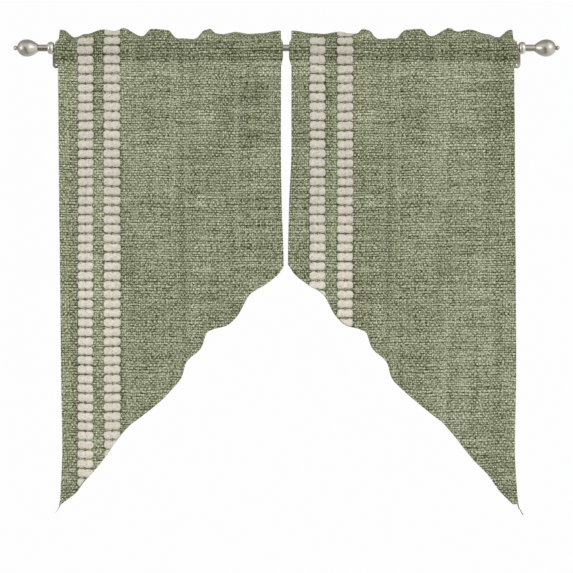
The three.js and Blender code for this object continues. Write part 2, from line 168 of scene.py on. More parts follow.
def forward(out, down):
    places, values = [], []
    for f in FOLDS:
        reach = np.clip((down + SEAM_LOW) / (float(hem_down(f["low"])) + SEAM_LOW), 0, 1.15)
        places.append(f["top"] + (f["low"] - f["top"]) * reach)
        values.append(f["forward_top"] + (f["forward_low"] - f["forward_top"]) * np.sqrt(np.clip(reach, 0, 1)))
    return wave(places, values, out)


def ripple(out, down, seed):
    """Small unevenness of the hang, in mm: slow swells, and finer ones near the hem."""
    rng = np.random.default_rng(seed)
    total = np.zeros_like(out * 1.0)
    for length_u, length_v, size in ((150, 700, 0.8), (88, 420, 0.8), (52, 300, 0.55), (31, 170, 0.3)):
        for _ in range(3):
            a, b = rng.uniform(-0.35, 0.35), rng.uniform(0, 2 * np.pi)
            total += size * 0.7 * np.sin(2 * np.pi * (out / length_u * rng.uniform(0.8, 1.25) + down / length_v * a) + b)
    return total


def pucker(u, seed):
    """Fine gathers along the stitching, 0 to 1."""
    rng = np.random.default_rng(seed + 100)
    total = np.zeros_like(u * 1.0)
    for length, size in ((26.0, 1.0), (17.0, 0.7), (11.5, 0.4), (47.0, 0.6)):
        a, b = rng.uniform(0, 6.28, 2)
        total += size * np.sin(2 * np.pi * u / length + a + 1.1 * np.sin(2 * np.pi * u / (length * 4.3) + b))
    return np.clip(0.5 + total / 4.2, 0, 1)


LEAN_START = 0.4


def lean_table():
    """Lean at the top of the ruffle against the dip that it makes."""
    leans = np.linspace(0, 2.4, 200)
    up = (np.arange(60) + 0.5) / 60
    dips = np.array([np.mean(1 - np.cos(a * (LEAN_START + (1 - LEAN_START) * up))) * (HEAD_TOP - SEAM_HIGH) for a in leans])
    return dips, leans


DIPS, LEANS = lean_table()


def pocket_path(line_low=9, arc=12, line_high=7):
    seam_from = CLOTH / 2 + 0.05

    def tangent(up, sign):
        return math.atan2(up, seam_from) + sign * math.acos(POCKET_R / math.hypot(seam_from, up))

    start, end = tangent(SEAM_LOW, 1), tangent(SEAM_HIGH, -1)
    on_rod = lambda a: np.array([POCKET_R * math.cos(a), POCKET_R * math.sin(a)])
    first, last = on_rod(start), on_rod(end)
    low, high = np.array([seam_from, SEAM_LOW]), np.array([seam_from, SEAM_HIGH])
    path = [low + (first - low) * t**1.4 for t in np.linspace(0, 1, line_low + 1)[:-1]]
    path += [on_rod(a) for a in np.linspace(start, end, arc + 1)]
    path += [last + (high - last) * (1 - (1 - t) ** 1.4) for t in np.linspace(0, 1, line_high + 1)[1:]]
    return np.array(path)


PATH = pocket_path()


def stations(panel, count):
    inner, outer = float(sides_at(panel, 515)[0]), float(sides_at(panel, 1074)[1])
    steps = 2000
    out = np.linspace(inner, outer, steps + 1)
    down = hem_down(out)
    length = np.concatenate([[0], np.cumsum(np.hypot(np.diff(out), np.diff(down)))])
    shares = np.interp(np.linspace(0, length[-1], count), length, np.linspace(0, 1, steps + 1))
    extra = [0.0022, 0.0055, 0.0185, 0.0225, 0.976, 0.981, 0.9935, 0.9962, 0.9984]
    shares = np.unique(np.concatenate([shares, extra]).round(6))
    keep = [0]
    for k in range(1, len(shares)):
        if shares[k] - shares[keep[-1]] > 0.0007 or shares[k] == 1:
            keep.append(k)
    return shares[keep]


def hem_at(panel, shares):
    down = np.full(len(shares), 800.0)
    for _ in range(80):
        out = out_at(panel, shares, down)
        down = 0.3 * down + 0.7 * (hem_down(out) + through(panel["longer"][:, 0], panel["longer"][:, 1], out))
    # the last few millimetres run out into the thin curled tip
    start = 0.9955
    t = np.clip((shares - start) / (1 - start), 0, 1)
    return down + (panel["tip"] - down) * t**2.2


def place(panel, share, down, behind):
    """Array of points, in mm, from arrays of the share across, the depth and the distance behind the rod."""
    return np.stack([panel["side"] * out_at(panel, share, down), -ROD_OUT + behind, -down], -1)


def grid_normals(points, side):
    u = np.gradient(points, axis=0)
    v = np.gradient(points, axis=1)
    n = np.cross(u, v)
    return side * n / np.maximum(np.linalg.norm(n, axis=-1, keepdims=True), 1e-9)


def step(x, a, b):
    t = np.clip((x - a) / (b - a), 0, 1)
    return t * t * (3 - 2 * t)


def panel_sheets(panel, columns=196, body=112):
    """The cloth's middle surfaces: front layer with the body, ruffle and back layer of the pocket."""
    shares = stations(panel, columns)
    S = shares[:, None]
    bottom = hem_at(panel, shares)
    ref = out_at(panel, shares, 515.0)
    u = np.concatenate([[0], np.cumsum(np.hypot(np.diff(ref), np.diff(forward(ref, np.full_like(ref, 500.0)))))])
    U = u[:, None]
    puck = pucker(U, panel["seed"])

    seam_out = out_at(panel, shares, 30.0)
    seam_behind = -forward(seam_out, np.full_like(seam_out, 30.0))[:, None]

    # body rows, finer in the hem band
    near = np.array([0, 0.8, 2.2, 5, 9, 13, 16.5, 18.6, 20.2, 22.5, 27])
    t = np.linspace(0, 1, body)
    top = -SEAM_LOW + 1.6
    B = bottom[:, None]
    rows = np.concatenate([B - near[None, :], (B - near[-1]) + (top - (B - near[-1])) * (t[None, 1:] ** 1.0)], 1)
    rows[:, -1] = top
    out = out_at(panel, S, rows)
    fade = step(rows, 30, 170)
    gather = (puck - 0.35) * 1.5 * np.exp(-(rows - 30) / 42.0)
    behind = -forward(out, rows) - CLOTH / 2 - ripple(out, rows, panel["seed"]) * fade - gather
    tail = np.clip((rows - 1068) / 28, 0, 1)
    behind = behind + 4.0 * tail * (S > 0.99)
    body_pts = place(panel, S, rows, behind)

    # pocket
    frm, up = PATH[:, 0][None, :], PATH[:, 1][None, :]
    seam = np.where(up > 0, SEAM_HIGH, SEAM_LOW)
    hold = np.clip((np.abs(up) - ROD_R) / (np.abs(seam) - ROD_R), 0, 1) ** 1.5
    swell = np.cos(np.pi / 2 * np.clip(up / seam, 0, 1)) ** 1.2
    puff = np.sin(np.pi * np.clip((up - SEAM_LOW) / (SEAM_HIGH - SEAM_LOW), 0, 1)) ** 0.7
    loose = np.clip(-seam_behind, 0, 6) * 0.9
    slack = np.clip(seam_behind, 0, 6) * 0.7
    front_pocket = place(panel, S, -up + 0 * S, -frm - loose * swell - 1.3 * puck * puff + seam_behind * hold)
    back_pocket = place(panel, S, -up + 0 * S, frm + slack * swell + 1.1 * (1 - puck) * puff + seam_behind * hold)

    # ruffle
    lean = np.interp(wave(list(RUFFLE[:, 0]), list(RUFFLE[:, 1]), seam_out), DIPS, LEANS)[:, None]
    rows_r = 15
    tr = np.linspace(0, 1, rows_r + 1)[None, :]
    ds = (HEAD_TOP - SEAM_HIGH) / rows_r
    angle = lean * (LEAN_START + (1 - LEAN_START) * (tr[:, :-1] + 0.5 / rows_r))
    up_r = SEAM_HIGH + np.concatenate([np.zeros_like(lean), np.cumsum(np.cos(angle) * ds, 1)], 1)
    behind_r = seam_behind + np.concatenate([np.zeros_like(lean), np.cumsum(np.sin(angle) * ds, 1)], 1)
    behind_r = behind_r - (puck - 0.5) * 2.2 * np.sin(np.pi * np.clip(tr, 0, 1) * 0.62) * np.exp(-2.0 * tr)
    ruffle = place(panel, S, -up_r, behind_r)

    return dict(shares=shares, u=u, bottom=bottom, body=body_pts, front=front_pocket, back=back_pocket, ruffle=ruffle, rows=rows)


def bands(sheets, panel, name):
    """Where a sheet is double: the turned hems, as 0 to 1 for each of its points."""
    shares, rows = sheets["shares"][:, None], sheets["rows"]
    width = (sides_at(panel, 515)[1] - sides_at(panel, 515)[0])
    from_inner, from_outer = shares * width, (1 - shares) * width
    side = np.maximum(1 - step(from_inner, SIDE_BAND - 1.2, SIDE_BAND + 0.6), 1 - step(from_outer, SIDE_BAND - 1.2, SIDE_BAND + 0.6))
    if name != "body":
        return side + 0 * sheets[name][..., 0]
    above = sheets["bottom"][:, None] - rows
    # the hem follows a slope, so its band is a little taller than it is wide
    return np.maximum(side, 1 - step(above, HEM_BAND * 1.32 - 1.6, HEM_BAND * 1.32 + 1.0))


def layer(sheets, panel, name):
    """The room and wall faces of a sheet, as grids of points in mm."""
    if name == "front_all":
        middle = np.concatenate([sheets["body"], sheets["front"]], 1)
        doubled = np.concatenate([bands(sheets, panel, "body"), 0.0 * sheets["front"][..., 0]], 1)
        half = CLOTH / 2
    elif name == "ruffle":
        middle, doubled, half = sheets["ruffle"], 0.35 * bands(sheets, panel, "ruffle"), CLOTH
    else:
        middle, doubled, half = sheets["back"], 0.0 * sheets["back"][..., 0], CLOTH / 2
    normal = grid_normals(middle, panel["side"])
    room = middle + normal * (half + 0.15 * doubled[..., None])
    wall = middle - normal * (half + 1.15 * doubled[..., None])
    return room, wall, middle, normal


def new_object(name, vertices, faces, smooth=True):
    mesh = bpy.data.meshes.new(name)
    mesh.from_pydata([tuple(v) for v in vertices], [], faces)
    mesh.validate()
    mesh.update()
    if smooth:
        mesh.shade_smooth()
    ob = bpy.data.objects.new(name, mesh)
    bpy.context.scene.collection.objects.link(ob)
    return ob


def outward(ob):
    bm = bmesh.new()
    bm.from_mesh(ob.data)
    bmesh.ops.recalc_face_normals(bm, faces=bm.faces)
    bm.to_mesh(ob.data)
    bm.free()


def ring_faces(rings, size, outwards):
    """Quads between rings of vertex numbers, each ring a row of an array."""
    a = rings[:-1]
    b = rings[1:]
    n = np.roll(a, -1, 1), np.roll(b, -1, 1)
    quads = np.stack([a, b, n[1], n[0]], -1).reshape(-1, 4)
    return quads if outwards else quads[:, ::-1]


def local_tone(panel, points):
    """Painted shade darkens the pocket and the creases of its seams, with a painted highlight on the ridge below the
    lower seam; the ground is darker between the ladders and on the ruffle, paler or darker in some bands, and paler or
    darker in broad soft patches.
    """
    x, height = panel["side"] * points[..., 0], points[..., 2]
    # painted shade over the pocket and in the creases of its seams, and a painted highlight on the ridge below the
    # lower seam
    pocket = step(height, SEAM_LOW - 1, SEAM_LOW + 1.5) * (1 - step(height, SEAM_HIGH - 2, SEAM_HIGH + 1))
    crease = np.exp(-(((height - SEAM_LOW - 0.5) / 1.8) ** 2)) + 0.7 * np.exp(-(((height - SEAM_HIGH) / 1.8) ** 2))
    ridge = np.exp(-(((height - SEAM_LOW + 7.5) / 3.2) ** 2))
    # the ground is drawn together between the two ladders, most of all near the rod
    a, b = sorted(ladder["centre"] for ladder in panel["ladders"])
    between = step(x, a - 20, a) * (1 - step(x, b, b + 20)) * (1 - step(-height, 90, 330))
    ruffle = step(height, SEAM_HIGH, SEAM_HIGH + 8)
    # it is paler between them lower down, under the pocket, and in the left panel's margin
    lower = step(x, a + 16, a + 20) * (1 - step(x, b - 20, b - 16)) * step(-height, 150, 330)
    margin = step(x, b + 18, b + 22) if panel["side"] < 0 else 1 - step(x, a - 22, a - 18)
    under = step(-height, 36, 44) * (1 - step(-height, 72, 92))
    # broad soft patches, each made paler or darker by its listed amount
    soft_patches = sum(by * np.exp(-(((x - out) / half_w) ** 2) - ((-height - down) / half_h) ** 2) for out, down, half_w, half_h, by in panel["uneven"])
    return soft_patches + (
        -0.105 * pocket - 0.09 * crease + 0.09 * ridge - 0.065 * between - 0.05 * ruffle
        + panel["paler_gap"] * lower + panel["paler_margin"] * margin * step(-height, 30, 60) + 0.03 * under
    )


def share_at(panel, out, z):
    """Share across the panel of a place out from the middle of the rod, at a height."""
    inner, outer = sides_at(panel, -np.asarray(z, float))
    return (out - inner) / (outer - inner)


def build_panel(name, panel, columns=196, body=112):
    sheets = panel_sheets(panel, columns, body)
    side = panel["side"]
    f_room, f_wall, f_mid, f_n = layer(sheets, panel, "front_all")
    r_room, r_wall, _, _ = layer(sheets, panel, "ruffle")
    b_room, b_wall, _, _ = layer(sheets, panel, "back")
    nb = sheets["body"].shape[1]
    pocket = PATH.shape[0]
    count = len(sheets["shares"])

    # rounded lower edge and rounded top of the ruffle
    low_edge = (f_room[:, 0] + f_wall[:, 0]) / 2 + np.array([0, 0, -0.5])
    top_dir = sheets["ruffle"][:, -1] - sheets["ruffle"][:, -2]
    top_dir /= np.linalg.norm(top_dir, axis=-1, keepdims=True)
    top_room = sheets["ruffle"][:, -1] + (r_room[:, -1] - sheets["ruffle"][:, -1]) * 0.72 + top_dir * 0.75
    top_mid = sheets["ruffle"][:, -1] + top_dir * 1.15
    top_wall = sheets["ruffle"][:, -1] + (r_wall[:, -1] - sheets["ruffle"][:, -1]) * 0.72 + top_dir * 0.75

    parts = [
        (f_room[:, :-1], "front"),
        (r_room, "ruffle"),
        (np.stack([top_room, top_mid, top_wall], 1), "top"),
        (r_wall[:, ::-1], "ruffle_back"),
        (b_wall[:, :-1][:, ::-1], "back"),
        (f_wall[:, :nb][:, ::-1], "body_back"),
        (low_edge[:, None], "edge"),
    ]
    outline = np.concatenate([p for p, _ in parts], 1)
    tunnel = np.concatenate([f_wall[:, nb + 1 : nb + pocket - 1], b_room[:, 1:-1][:, ::-1]], 1)

    # cloth coordinates: u across, v down from the fold at the top of the ruffle
    def lengths(points):
        d = np.linalg.norm(np.diff(points, axis=1), axis=-1)
        return np.concatenate([np.zeros((count, 1)), np.cumsum(d, 1)], 1)

    ruffle_len = lengths(sheets["ruffle"])
    ruffle_v = ruffle_len[:, -1:] - ruffle_len
    front_v = ruffle_v[:, :1] + SEAM_HIGH - f_mid[..., 2]  # the rows hang level
    back_len = lengths(sheets["back"][:, ::-1])[:, ::-1]
    back_v = -(ruffle_v[:, :1] + back_len)
    v_map = np.concatenate([
        front_v[:, :-1], ruffle_v, np.zeros((count, 3)), -ruffle_v[:, ::-1], back_v[:, :-1][:, ::-1],
        front_v[:, :nb][:, ::-1], front_v[:, :1] + 0.4,
    ], 1)
    tunnel_v = np.concatenate([front_v[:, nb + 1 : nb + pocket - 1], back_v[:, 1:-1][:, ::-1]], 1)
    size, inner_size = outline.shape[1], tunnel.shape[1]
    u_map = np.repeat(sheets["u"][:, None], size, 1)
    tunnel_u = np.repeat(sheets["u"][:, None], inner_size, 1)

    vertices = np.concatenate([outline.reshape(-1, 3), tunnel.reshape(-1, 3)]) * MM
    ids = np.arange(count * size).reshape(count, size)
    inner_ids = count * size + np.arange(count * inner_size).reshape(count, inner_size)
    positive = side > 0
    faces = np.concatenate([ring_faces(ids, size, positive), ring_faces(inner_ids, inner_size, not positive)]).tolist()
    for end in (0, count - 1):
        loops = [[Vector((0, *vertices[k][1:])) for k in ids[end]], [Vector((0, *vertices[k][1:])) for k in inner_ids[end]]]
        flat = list(ids[end]) + list(inner_ids[end])
        for tri in tessellate_polygon(loops):
            p = [int(flat[k]) for k in tri]
            a, b, c = (vertices[k] for k in p)
            turn = (b[1] - a[1]) * (c[2] - a[2]) - (c[1] - a[1]) * (b[2] - a[2])
            if abs(turn) < 1e-14:
                continue
            wanted = -side if end == 0 else side
            faces.append(p if turn * wanted > 0 else p[::-1])
    ob = new_object(name, vertices, faces)
    coords = np.concatenate([
        np.stack([u_map, v_map, local_tone(panel, outline)], -1).reshape(-1, 3),
        np.stack([tunnel_u, tunnel_v, 0 * tunnel_v], -1).reshape(-1, 3),
    ]).astype(np.float32)
    attribute = ob.data.attributes.new("cloth", "FLOAT_VECTOR", "POINT")
    attribute.data.foreach_set("vector", coords.ravel())
    return ob, sheets


# ---------------------------------------------------------------------------
# a small writer for shader maths
# ---------------------------------------------------------------------------
class Sock:
    """A socket with the operators of a number."""

    def __init__(self, graph, value):
        self.g, self.v = graph, value

    def _op(self, op, other=None, third=None, swap=False):
        a, b = (other, self) if swap else (self, other)
        return self.g.math(op, a, b, third)

    def __add__(self, o): return self._op("ADD", o)
    __radd__ = __add__
    def __sub__(self, o): return self._op("SUBTRACT", o)
    def __rsub__(self, o): return self._op("SUBTRACT", o, swap=True)
    def __mul__(self, o): return self._op("MULTIPLY", o)
    __rmul__ = __mul__
    def __truediv__(self, o): return self._op("DIVIDE", o)
    def __rtruediv__(self, o): return self._op("DIVIDE", o, swap=True)
    def __pow__(self, o): return self._op("POWER", o)


class Graph:
    def __init__(self, name):
        self.material = bpy.data.materials.new(name)
        self.material.use_nodes = True
        self.tree = self.material.node_tree
        self.tree.nodes.clear()
        self.out = self.node("ShaderNodeOutputMaterial")
        self.bsdf = self.node("ShaderNodeBsdfPrincipled")
        self.tree.links.new(self.bsdf.outputs[0], self.out.inputs[0])

    def node(self, kind, **props):
        n = self.tree.nodes.new(kind)
        for k, v in props.items():
            setattr(n, k, v)
        return n

    def put(self, socket, value):
        if isinstance(value, Sock):
            self.tree.links.new(value.v, socket)
        elif value is not None:
            socket.default_value = value

    def math(self, op, a, b=None, c=None):
        n = self.node("ShaderNodeMath", operation=op)
        for socket, value in zip(n.inputs, (a, b, c)):
            self.put(socket, value)
        return Sock(self, n.outputs[0])

    def floor(self, a): return self.math("FLOOR", a)
    def cos(self, a): return self.math("COSINE", a)
    def sqrt(self, a): return self.math("SQRT", a)
    def maximum(self, a, b): return self.math("MAXIMUM", a, b)
    def minimum(self, a, b): return self.math("MINIMUM", a, b)
    def less(self, a, b): return self.math("LESS_THAN", a, b)
    def mod(self, a, b): return self.math("FLOORED_MODULO", a, b)

    def ease(self, a, low, high):
        n = self.node("ShaderNodeMapRange", interpolation_type="SMOOTHSTEP")
        self.put(n.inputs[0], a)
        n.inputs[1].default_value, n.inputs[2].default_value = low, high
        return Sock(self, n.outputs[0])

    def xyz(self, x, y, z=0.0):
        n = self.node("ShaderNodeCombineXYZ")
        for socket, value in zip(n.inputs, (x, y, z)):
            self.put(socket, value)
        return Sock(self, n.outputs[0])

    def split(self, vector):
        n = self.node("ShaderNodeSeparateXYZ")
        self.put(n.inputs[0], vector)
        return [Sock(self, o) for o in n.outputs]

    def noise(self, vector, scale=1.0, detail=2.0, rough=0.5, distort=0.0, colour=False):
        n = self.node("ShaderNodeTexNoise")
        self.put(n.inputs["Vector"], vector)
        n.inputs["Scale"].default_value = scale
        n.inputs["Detail"].default_value = detail
        n.inputs["Roughness"].default_value = rough
        n.inputs["Distortion"].default_value = distort
        return Sock(self, n.outputs[1 if colour else 0])

    def white(self, vector):
        n = self.node("ShaderNodeTexWhiteNoise", noise_dimensions="3D")
        self.put(n.inputs["Vector"], vector)
        return Sock(self, n.outputs[0])

    def ramp(self, fac, stops):
        n = self.node("ShaderNodeValToRGB")
        self.put(n.inputs[0], fac)
        ramp = n.color_ramp
        while len(ramp.elements) < len(stops):
            ramp.elements.new(0.5)
        for e, (p, c) in zip(ramp.elements, stops):
            e.position = p
            e.color = (*c, 1)
        return Sock(self, n.outputs[0])

    def mix(self, fac, a, b, blend="MIX"):
        n = self.node("ShaderNodeMix", data_type="RGBA", blend_type=blend)
        self.put(n.inputs[0], fac)
        self.put(n.inputs[6], a if isinstance(a, Sock) else (*a, 1))
        self.put(n.inputs[7], b if isinstance(b, Sock) else (*b, 1))
        return Sock(self, n.outputs[2])

    def attribute(self, name, output="Vector"):
        n = self.node("ShaderNodeAttribute", attribute_name=name)
        return Sock(self, n.outputs[output])

    def bump(self, height, distance, strength=1.0, normal=None):
        n = self.node("ShaderNodeBump")
        self.put(n.inputs["Height"], height)
        n.inputs["Distance"].default_value = distance
        n.inputs["Strength"].default_value = strength
        if normal is not None:
            self.put(n.inputs["Normal"], normal)
        return Sock(self, n.outputs[0])

    def set(self, **sockets):
        for name, value in sockets.items():
            self.put(self.bsdf.inputs[name.replace("_", " ")], value)


def srgb(r, g, b):
    return tuple(((c / 255 + 0.055) / 1.055) ** 2.4 if c > 10 else c / 255 / 12.92 for c in (r, g, b))


# ---------------------------------------------------------------------------
# materials
# ---------------------------------------------------------------------------
BASE = 0.475  # level of the weave


def burlap_material():
    """Slubby plain weave in sage green: two sets of yarns that pass over and under each other."""
    g = Graph("burlap_sage")
    u, v, local = g.split(g.attribute("cloth"))  # mm across and down the cloth, and a local change of tone
    # the yarns wander a little
    quick = g.split(g.noise(g.xyz(u / 17, v / 17, 4.0), detail=1, colour=True))
    U = u / PITCH_WARP + (g.noise(g.xyz(u / 70, v / 260, 1.0), detail=1) - 0.5) * 3.0 + (quick[0] - 0.5) * 1.2
    V = v / PITCH_WEFT + (g.noise(g.xyz(3.3, v / 55, 2.0), detail=1) - 0.5) * 2.4 + (g.noise(g.xyz(u / 240, v / 90, 6.0), detail=1) - 0.5) * 0.9 + (quick[1] - 0.5) * 0.25
    iu, iv = g.floor(U), g.floor(V)
    fu, fv = U - iu - 0.5, V - iv - 0.5
    shift = g.less(g.noise(g.xyz((iu + 0.5) * 0.17, (iv + 0.5) * 0.17, 77.0), detail=1), 0.5)  # where a yarn has slipped, overs and unders change places
    flip = (1 - 2 * g.mod(iu + iv, 2.0)) * (1 - 2 * shift)

    # each yarn is thick and thin along its length, and is round
    wide_weft = 0.331 + (g.noise(g.xyz(U * 0.30, iv * 3.71), detail=2) - 0.5) * 0.52
    wide_warp = 0.507 + (g.noise(g.xyz(iu * 5.13, V * 0.30, 9.0), detail=2) - 0.5) * 0.585
    across_weft, across_warp = fv / wide_weft, fu / wide_warp
    round_weft = g.sqrt(g.maximum(1 - across_weft * across_weft, 0.0))
    round_warp = g.sqrt(g.maximum(1 - across_warp * across_warp, 0.0))
    on_weft = g.less(across_weft * across_weft, 1.0)
    on_warp = g.less(across_warp * across_warp, 1.0)
    high_weft = on_weft * (flip * g.cos(fu * math.pi) * 0.094 + round_weft * 0.2 + 1.038) - 1.0
    high_warp = on_warp * (flip * g.cos(fv * math.pi) * -0.02 + round_warp * 0.2 + 1.0) - 1.0
    high = g.maximum(high_weft, high_warp)
    is_weft = g.less(high_warp, high_weft)

    # tone: of each yarn along its length, its fibres, painted shade in the gaps between rows, slow streaks and clouds,
    # nubs and dark pits
    col = g.white(g.xyz(iu, 0.0, 7.0)) - 0.5
    cell = g.white(g.xyz(iu, iv, 1.0)) - 0.5
    row = g.noise(g.xyz(U * 0.035, iv * 1.37, 21.0), detail=1) - 0.5
    along_weft = g.noise(g.xyz(U * 0.7, iv * 7.9, 2.0), detail=3, rough=0.7) - 0.5
    along_warp = g.noise(g.xyz(iu * 6.1, V * 0.7, 5.0), detail=3, rough=0.7) - 0.5
    fibre_weft = g.noise(g.xyz(U * 2.2, V * 15.0, 3.0), detail=2) - 0.5
    fibre_warp = g.noise(g.xyz(U * 15.0, V * 2.2, 6.0), detail=2) - 0.5
    # painted shade: a weft yarn darkens towards where it dips under the warp, and the lower-lying warp is darker all
    # over
    weft = row * 0.217 + along_weft * 0.3 + fibre_weft * 0.161 - fu * fu * 1.848
    warp = col * 0.15 + along_warp * 1.467 + fibre_warp * 0.161 - fv * fv * 0.000 - 0.292
    yarn = is_weft * weft + (1 - is_weft) * warp
    gap = g.noise(g.xyz(U * 0.28, g.floor(V + 0.5) * 2.93, 41.0), detail=1) - 0.5
    line = g.ease(g.math("ABSOLUTE", fv), 0.272, 0.5) * g.maximum(0.287 + gap * 0.93, 0.0)
    grain = (g.noise(g.xyz(u / 3.2, v / 2.62, 51.0), detail=1) - 0.5) * 1.444 + (g.noise(g.xyz(u / 5, v / 4, 61.0), detail=1) - 0.5) * 1.077
    clouds = (g.noise(g.xyz(u / 75, v / 50, 8.0), detail=3, rough=0.55) - 0.5) * 0.22
    streaks = (g.noise(g.xyz(u / 130, v / 5.2, 12.0), detail=1) - 0.5) * 0.62 + (g.noise(g.xyz(u / 26, v / 320, 91.0), detail=1) - 0.5) * 0.209
    nubs = g.ease(g.noise(g.xyz(u / 7, v / 5, 33.0), detail=1), 0.68, 0.85) * 0.5
    nubs = nubs + g.ease(g.noise(g.xyz(u / 4.8, v / 3.8, 127.0), detail=1), 0.67, 0.84) * 0.30
    pits = g.ease(g.noise(g.xyz(u / 9, v / 6, 15.0), detail=2), 0.66, 0.80) * 0.16 + g.ease(g.noise(g.xyz(u / 4.6, v / 3.6, 115.0), detail=1), 0.66, 0.83) * 0.36
    x = g.split(Sock(g, g.node("ShaderNodeTexCoord").outputs["Object"]))[0] * 1000
    # painted shade: a dark fringe along each side of every ladder
    painted_shade_beside = 0.0
    for panel in PANELS.values():
        for ladder in panel["ladders"]:
            away = g.math("ABSOLUTE", x - panel["side"] * ladder["centre"]) - ladder["width"] / 2
            painted_shade_beside = g.maximum(g.ease(away, -4.0, -1.0) * (1 - g.ease(away, 0.8, 4.4)), painted_shade_beside)
    # painted shade: the lower a point of the weave lies, the darker it is
    tone = painted_shade_beside * -0.11 + g.ease(high, -1.0, 2.159) * 0.896 + yarn - line + cell * 0.035 + grain + clouds + streaks + nubs - pits + local + BASE
    colour = g.ramp(tone, [
        (0.0, srgb(46, 48, 26)), (0.2, srgb(88, 92, 66)), (0.45, srgb(132, 137, 110)), (0.7, srgb(165, 170, 143)), (1.0, srgb(212, 216, 192)),
    ])
    fuzz = is_weft * fibre_weft + (1 - is_weft) * fibre_warp
    g.set(Base_Color=colour, Roughness=0.92 + fuzz * 0.1)
    g.put(g.bsdf.inputs["Normal"], g.bump(high * 0.5 + fuzz * 0.14, 0.0013, 0.5))
    g.bsdf.inputs["Sheen Weight"].default_value = 0.08
    g.bsdf.inputs["Sheen Roughness"].default_value = 0.6
    g.bsdf.inputs["Sheen Tint"].default_value = (0.80, 0.84, 0.70, 1)
    g.bsdf.inputs["Specular IOR Level"].default_value = 0.12
    return g.material


def yarn_material():
    """Soft chunky cream yarn: plies that run across each rung, slightly twisted, with loose fibres."""
    g = Graph("yarn_cream")
    a, b, rung = g.split(g.attribute("rung"))  # along the rung and over it, in mm, and its number
    seed = g.white(g.xyz(rung, 2.0))
    bend = (g.noise(g.xyz(a / 11, b / 11, rung * 3.1), detail=2) - 0.5) * 6.0
    twist = a * 0.16 + b + bend
    ply = g.math("SINE", twist * (2 * math.pi / 3.6) + seed * 6.28) * 0.5 + 0.5
    hair = g.noise(g.xyz(a / 2.6, twist * 1.3, rung), detail=4, rough=0.7)
    fleck = g.noise(g.xyz(a / 3.4, b / 2.6, rung * 2.3), detail=2, rough=0.6)
    mottle = g.noise(g.xyz(a / 8, b / 6, rung * 1.7), detail=2, rough=0.6)
    tone = 0.5 + (ply - 0.5) * 0.18 + (hair - 0.5) * 0.70 + (fleck - 0.5) * 1.30 + (mottle - 0.5) * 0.80 + (seed - 0.5) * 0.05
    colour = g.ramp(tone, [
        (0.0, srgb(156, 149, 134)), (0.28, srgb(204, 198, 185)), (0.55, srgb(223, 218, 206)), (1.0, srgb(243, 239, 230)),
    ])
    # the sides of a rung pick up fibres of the green ground, and its middle is a little pink
    edge = g.ease(g.math("ABSOLUTE", b), 4.0, 10.5)
    colour = g.mix(edge * 0.55, colour, (0.70, 0.70, 0.55), "MULTIPLY")
    colour = g.mix((1 - edge) * (0.35 + g.ease(mottle, 0.45, 0.7) * 0.65), colour, (1.0, 0.972, 0.995), "MULTIPLY")
    # painted light and shade: each rung's level down the ladder, and painted shade towards its underside
    pale = g.attribute("light", "Fac") * (1 + g.maximum(g.math("MINIMUM", b, 8.0), -8.0) * 0.0055)
    colour = g.mix(1.0, colour, g.xyz(pale, pale, pale), "MULTIPLY")
    g.set(Base_Color=colour, Roughness=0.93)
    g.put(g.bsdf.inputs["Normal"], g.bump(ply * 0.6 + hair * 0.7, 0.0011, 0.75))
    g.bsdf.inputs["Sheen Weight"].default_value = 0.25
    g.bsdf.inputs["Sheen Roughness"].default_value = 0.5
    g.bsdf.inputs["Specular IOR Level"].default_value = 0.15
    return g.material


def thread_material():
    g = Graph("thread_green")
    tex = g.node("ShaderNodeTexCoord")
    p = Sock(g, tex.outputs["Object"])
    n = g.noise(p, 900.0, 2)
    g.set(Base_Color=g.ramp(n, [(0.3, srgb(108, 112, 84)), (0.7, srgb(150, 154, 124))]), Roughness=0.85)
    g.put(g.bsdf.inputs["Normal"], g.bump(n, 0.0003, 0.6))
    return g.material


